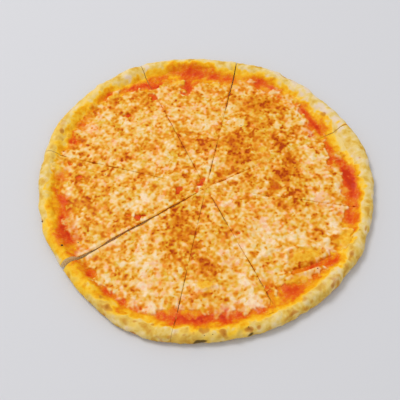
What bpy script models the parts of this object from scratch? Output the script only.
"""Margherita pizza, baked round and cut with a wheel into eight slices that still lie together.

A slice is three layers, each one closed solid: the crust, a thin base whose outer edge is puffed up
into a rim; the tomato sauce spread on it; and the melted grated cheese on top. Each layer starts as
its cross-section, seen from the side with the hub of the cuts at the left. The section is spun
around the hub through the slice's own angle. The spun solid is then stretched to the uneven outline
and heights of dough that was opened by hand, and moved clear of its neighbours.

Metres, +Z up. The origin is the middle of the flat underside, and -Y is the near edge.
"""

import math

import bmesh
import bpy
from mathutils import Vector

MM = 0.001
CLEARANCE = 0.3 * MM        # left between layers that touch

# The round
MEAN_RADIUS = 159.2 * MM    # from the hub of the cuts to the outer edge, on average
HUB = Vector((-0.1 * MM, -3.0 * MM, 0.0))
OUTLINE_WAVES = (           # lobes around the edge, how far they stand out, where the first one is
    (1, 3.4 * MM, 118.0),
    (2, 1.4 * MM, 150.5),
    (3, 2.6 * MM, 12.0),
    (4, 0.6 * MM, 61.0),
    (5, 0.5 * MM, 35.0),
    (6, 0.6 * MM, 7.0),
    (8, 0.7 * MM, 19.0),
)

# The cuts
SLICE_ANGLES = (            # degrees around the hub, anticlockwise from +X
    (27.5, 77.9),
    (77.9, 114.6),
    (114.6, 165.2),
    (165.2, 212.4),
    (213.9, 258.7),
    (258.7, 296.0),
    (296.0, 351.6),
    (351.6, 387.5),
)
KERF = 0.7 * MM             # width of the gap that the wheel leaves
TIP_RADIUS = 1.2 * MM       # the blunt point of a slice
STEP_ANGLE = 4.4            # degrees between the sections of a spun layer

# The crust
BASE_THICKNESS = 4.4 * MM
RIM_HEIGHT = 11.8 * MM
RIM_CREST = 7.5 * MM        # from the outer edge in to the highest line of the rim
RIM_WIDTH = 21.0 * MM       # from the outer edge in to the flat bed
EDGE_HEIGHT = 4.8 * MM      # height of the outermost line of the rim
EDGE_UNDERCUT = 5.0 * MM    # from the outer edge in to where the crust meets the table
RIM_WAVES = (               # swellings around the rim, part of its rise, where the first one is
    (1, 0.06, 265.0),
    (3, 0.07, 205.0),
    (7, 0.06, 318.0),
    (13, 0.05, 12.0),
)

# The toppings
SAUCE_THICKNESS = 0.9 * MM
SAUCE_MARGIN = 13.5 * MM    # bare rim outside the sauce
CHEESE_THICKNESS = 2.3 * MM
CHEESE_MARGIN = 24.0 * MM   # bare sauce and rim outside the cheese
CHEESE_EDGE = 0.8 * MM      # thickness of the cheese where it runs out
CHEESE_TAPER = 9.0 * MM     # over which it thins
CHEESE_RING = 8.5 * MM      # between the points of its top
CHEESE_EDGE_WAVES = (       # where the cheese runs out further over the sauce
    (5, 1.4 * MM, 20.0),
    (9, 1.1 * MM, 351.0),
    (17, 0.8 * MM, 7.0),
)
CHEESE_LUMPS = (            # wavelength, height and heading of the ripples on the cheese
    (31.0 * MM, 0.35 * MM, 24.0),
    (23.0 * MM, 0.30 * MM, 97.0),
    (17.0 * MM, 0.25 * MM, 151.0),
)
# Bubbles of dough that lift the cheese: middle x and y, half length, half width, height, heading.
BUBBLES = (
    (95.0 * MM, -80.0 * MM, 24.0 * MM, 11.0 * MM, 2.6 * MM, 18.0),
    (1.0 * MM, -106.0 * MM, 8.0 * MM, 7.0 * MM, 1.5 * MM, 0.0),
    (-62.0 * MM, 54.0 * MM, 17.0 * MM, 13.0 * MM, 1.0 * MM, 30.0),
    (50.0 * MM, 55.0 * MM, 26.0 * MM, 20.0 * MM, 1.0 * MM, 70.0),
)

# Colour, roughness and metallic value of each layer
CRUST_LOOK = ((0.80, 0.62, 0.36), 0.75, 0.0)
SAUCE_LOOK = ((0.62, 0.11, 0.03), 0.35, 0.0)
CHEESE_LOOK = ((0.84, 0.62, 0.33), 0.45, 0.0)


def clear_scene():
    for item in list(bpy.data.objects):
        bpy.data.objects.remove(item, do_unlink=True)


def make_material(name, look):
    colour, roughness, metallic = look
    material = bpy.data.materials.new(name)
    material.use_nodes = True
    shader = material.node_tree.nodes["Principled BSDF"]
    shader.inputs["Base Color"].default_value = (*colour, 1.0)
    shader.inputs["Roughness"].default_value = roughness
    shader.inputs["Metallic"].default_value = metallic
    return material


def waves(table, angle):
    """Sum of cosines around the hub: angle in radians, crests in degrees."""
    return sum(size * math.cos(count * (angle - math.radians(crest))) for count, size, crest in table)


def edge_radius(angle):
    return MEAN_RADIUS + waves(OUTLINE_WAVES, angle)


def crust_top(margin):
    """Height of the crust a distance in from its outer edge: a quarter oval, then half a cosine."""
    if margin < RIM_CREST:
        part = 1 - margin / RIM_CREST
        return EDGE_HEIGHT + (RIM_HEIGHT - EDGE_HEIGHT) * math.sqrt(1 - part * part)
    if margin < RIM_WIDTH:
        part = (margin - RIM_CREST) / (RIM_WIDTH - RIM_CREST)
        return BASE_THICKNESS + (RIM_HEIGHT - BASE_THICKNESS) * (1 + math.cos(math.pi * part)) / 2
    return BASE_THICKNESS


def spaced(first, last, step):
    """Values from first to last, evenly spaced at about the step."""
    count = max(1, round(abs(last - first) / step))
    return [first + (last - first) * i / count for i in range(count + 1)]


def crust_section():
    """Points (radius, height) around the crust's section, from the tip out along the table."""
    points = [(TIP_RADIUS, 0.0)]
    for part in spaced(0.0, 1.0, 1 / 3):
        turn = part * math.pi / 2
        points.append((
            MEAN_RADIUS - EDGE_UNDERCUT * (1 - math.sin(turn)),
            EDGE_HEIGHT * (1 - math.cos(turn)),
        ))
    crown = [RIM_CREST * (1 - math.cos(turn)) for turn in spaced(0.0, math.pi / 2, math.pi / 8)]
    slope = spaced(RIM_CREST, RIM_WIDTH, 2.7 * MM)
    for margin in crown[1:] + slope[1:]:
        points.append((MEAN_RADIUS - margin, crust_top(margin)))
    points.append((TIP_RADIUS, BASE_THICKNESS))
    return points


def sauce_section():
    """The sauce lies on the bed and a little way up the slope of the rim."""
    slope = [m for m in spaced(RIM_CREST, RIM_WIDTH, 2.7 * MM) if m >= SAUCE_MARGIN - 1.0 * MM]
    under = [(MEAN_RADIUS - m, crust_top(m) + CLEARANCE) for m in reversed(slope)]
    over = [(radius, height + SAUCE_THICKNESS) for radius, height in reversed(under[:-1])]
    bottom = BASE_THICKNESS + CLEARANCE
    return [(TIP_RADIUS, bottom)] + under + over + [(TIP_RADIUS, bottom + SAUCE_THICKNESS)]


def cheese_section():
    bottom = BASE_THICKNESS + SAUCE_THICKNESS + 2 * CLEARANCE
    outer = MEAN_RADIUS - CHEESE_MARGIN
    points = [(TIP_RADIUS, bottom), (outer, bottom)]
    for radius in spaced(outer, TIP_RADIUS, CHEESE_RING):
        part = min(1.0, (outer - radius) / CHEESE_TAPER)
        thickness = CHEESE_EDGE + (CHEESE_THICKNESS - CHEESE_EDGE) * part
        points.append((radius, bottom + thickness))
    return points


def lumps(x, y):
    """Unevenness of the melted cheese."""
    height = 0.0
    for length, size, heading in CHEESE_LUMPS:
        turn = math.radians(heading)
        height += size * math.sin(2 * math.pi * (x * math.cos(turn) + y * math.sin(turn)) / length)
    return height


def bubbles(x, y):
    """Lift of the cheese over the bubbles in the dough."""
    height = 0.0
    for mid_x, mid_y, half_length, half_width, size, heading in BUBBLES:
        turn = math.radians(heading)
        along = ((x - mid_x) * math.cos(turn) + (y - mid_y) * math.sin(turn)) / half_length
        across = ((y - mid_y) * math.cos(turn) - (x - mid_x) * math.sin(turn)) / half_width
        height += size * math.exp(-(along * along + across * across))
    return height


def shape_crust(radius, angle, height):
    """Stretches a point of the round crust to the uneven outline and rim."""
    rise = max(0.0, height - BASE_THICKNESS)
    return radius * edge_radius(angle) / MEAN_RADIUS, height + rise * waves(RIM_WAVES, angle)


def shape_sauce(radius, angle, height):
    rise = max(0.0, height - BASE_THICKNESS - CLEARANCE - SAUCE_THICKNESS)
    return radius * edge_radius(angle) / MEAN_RADIUS, height + rise * waves(RIM_WAVES, angle)


def shape_cheese(radius, angle, height):
    outer = MEAN_RADIUS - CHEESE_MARGIN
    near_edge = max(0.0, 1 - (outer - radius) / CHEESE_TAPER)
    stretched = radius * edge_radius(angle) / MEAN_RADIUS
    stretched += near_edge * waves(CHEESE_EDGE_WAVES, angle)
    thickness = height - (BASE_THICKNESS + SAUCE_THICKNESS + 2 * CLEARANCE)
    if thickness > CHEESE_EDGE / 2:
        x = HUB.x + stretched * math.cos(angle)
        y = HUB.y + stretched * math.sin(angle)
        height += (lumps(x, y) + bubbles(x, y)) * min(1.0, thickness / CHEESE_THICKNESS)
    return stretched, height


def spin_slice(name, section, shape, angles, material):
    """Spins a closed section through a slice's angles, shapes it and moves it clear of the cuts."""
    start, end = (math.radians(angle) for angle in angles)
    steps = round((angles[1] - angles[0]) / STEP_ANGLE)
    bm = bmesh.new()
    toward = Vector((math.cos(start), math.sin(start), 0.0))
    corners = [bm.verts.new(toward * radius + Vector((0.0, 0.0, height))) for radius, height in section]
    face = bm.faces.new(corners)
    bmesh.ops.spin(
        bm,
        geom=[face] + list(face.edges) + corners,
        cent=(0.0, 0.0, 0.0),
        axis=(0.0, 0.0, 1.0),
        angle=end - start,
        steps=steps,
        use_duplicate=False,
    )
    middle = (start + end) / 2
    clear = KERF / 2 / math.sin((end - start) / 2)
    move = HUB + Vector((math.cos(middle), math.sin(middle), 0.0)) * clear
    for vert in bm.verts:
        angle = math.atan2(vert.co.y, vert.co.x)
        radius, height = shape(vert.co.xy.length, angle, vert.co.z)
        vert.co = move + Vector((math.cos(angle) * radius, math.sin(angle) * radius, height))
    bmesh.ops.recalc_face_normals(bm, faces=bm.faces)
    mesh = bpy.data.meshes.new(name)
    bm.to_mesh(mesh)
    bm.free()
    mesh.shade_smooth()
    mesh.set_sharp_from_angle(angle=math.radians(40))
    mesh.materials.append(material)
    bpy.context.scene.collection.objects.link(bpy.data.objects.new(name, mesh))


def main():
    clear_scene()
    layers = (
        ("crust", crust_section(), shape_crust, make_material("crust", CRUST_LOOK)),
        ("sauce", sauce_section(), shape_sauce, make_material("sauce", SAUCE_LOOK)),
        ("cheese", cheese_section(), shape_cheese, make_material("cheese", CHEESE_LOOK)),
    )
    for number, angles in enumerate(SLICE_ANGLES, start=1):
        for layer, section, shape, material in layers:
            spin_slice(f"{layer}_{number}", section, shape, angles, material)


main()
